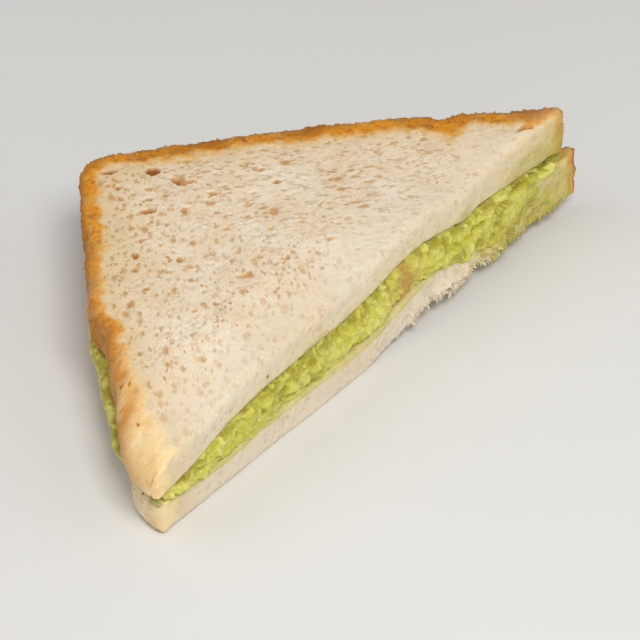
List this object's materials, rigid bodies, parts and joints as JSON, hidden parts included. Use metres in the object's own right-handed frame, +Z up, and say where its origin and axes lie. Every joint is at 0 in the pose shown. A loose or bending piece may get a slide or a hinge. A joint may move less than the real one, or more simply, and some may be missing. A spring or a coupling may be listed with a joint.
{
  "type": "guacamole sandwich",
  "caption": "Triangular half of a square white-bread sandwich, cut corner to corner, with thick guacamole showing along the cut and oozing out at one crust side.",
  "frame": {"origin": "centre of the bounding box at its underside, where the half rests", "axes": "+Z up, -Y out of the cut face, +X along the cut towards the right tip, +Y towards the square corner"},
  "size_m": [0.1438, 0.0736, 0.0271],
  "materials": {
    "bread_top": "soft matt white crumb with tan pores, golden-brown crust on the two baked sides, pale golden at the left tip",
    "bread_bottom": "soft matt white crumb, torn and ragged along the cut, smeared yellow-green at the right tip, golden-brown crust",
    "guacamole": "moist lumpy yellow-green avocado mash with small wet highlights, one brown-orange patch"
  },
  "bodies": {
    "root": {"bread_bottom": "bread_bottom", "guacamole": "guacamole", "bread_top": "bread_top"}
  },
  "joints": []
}
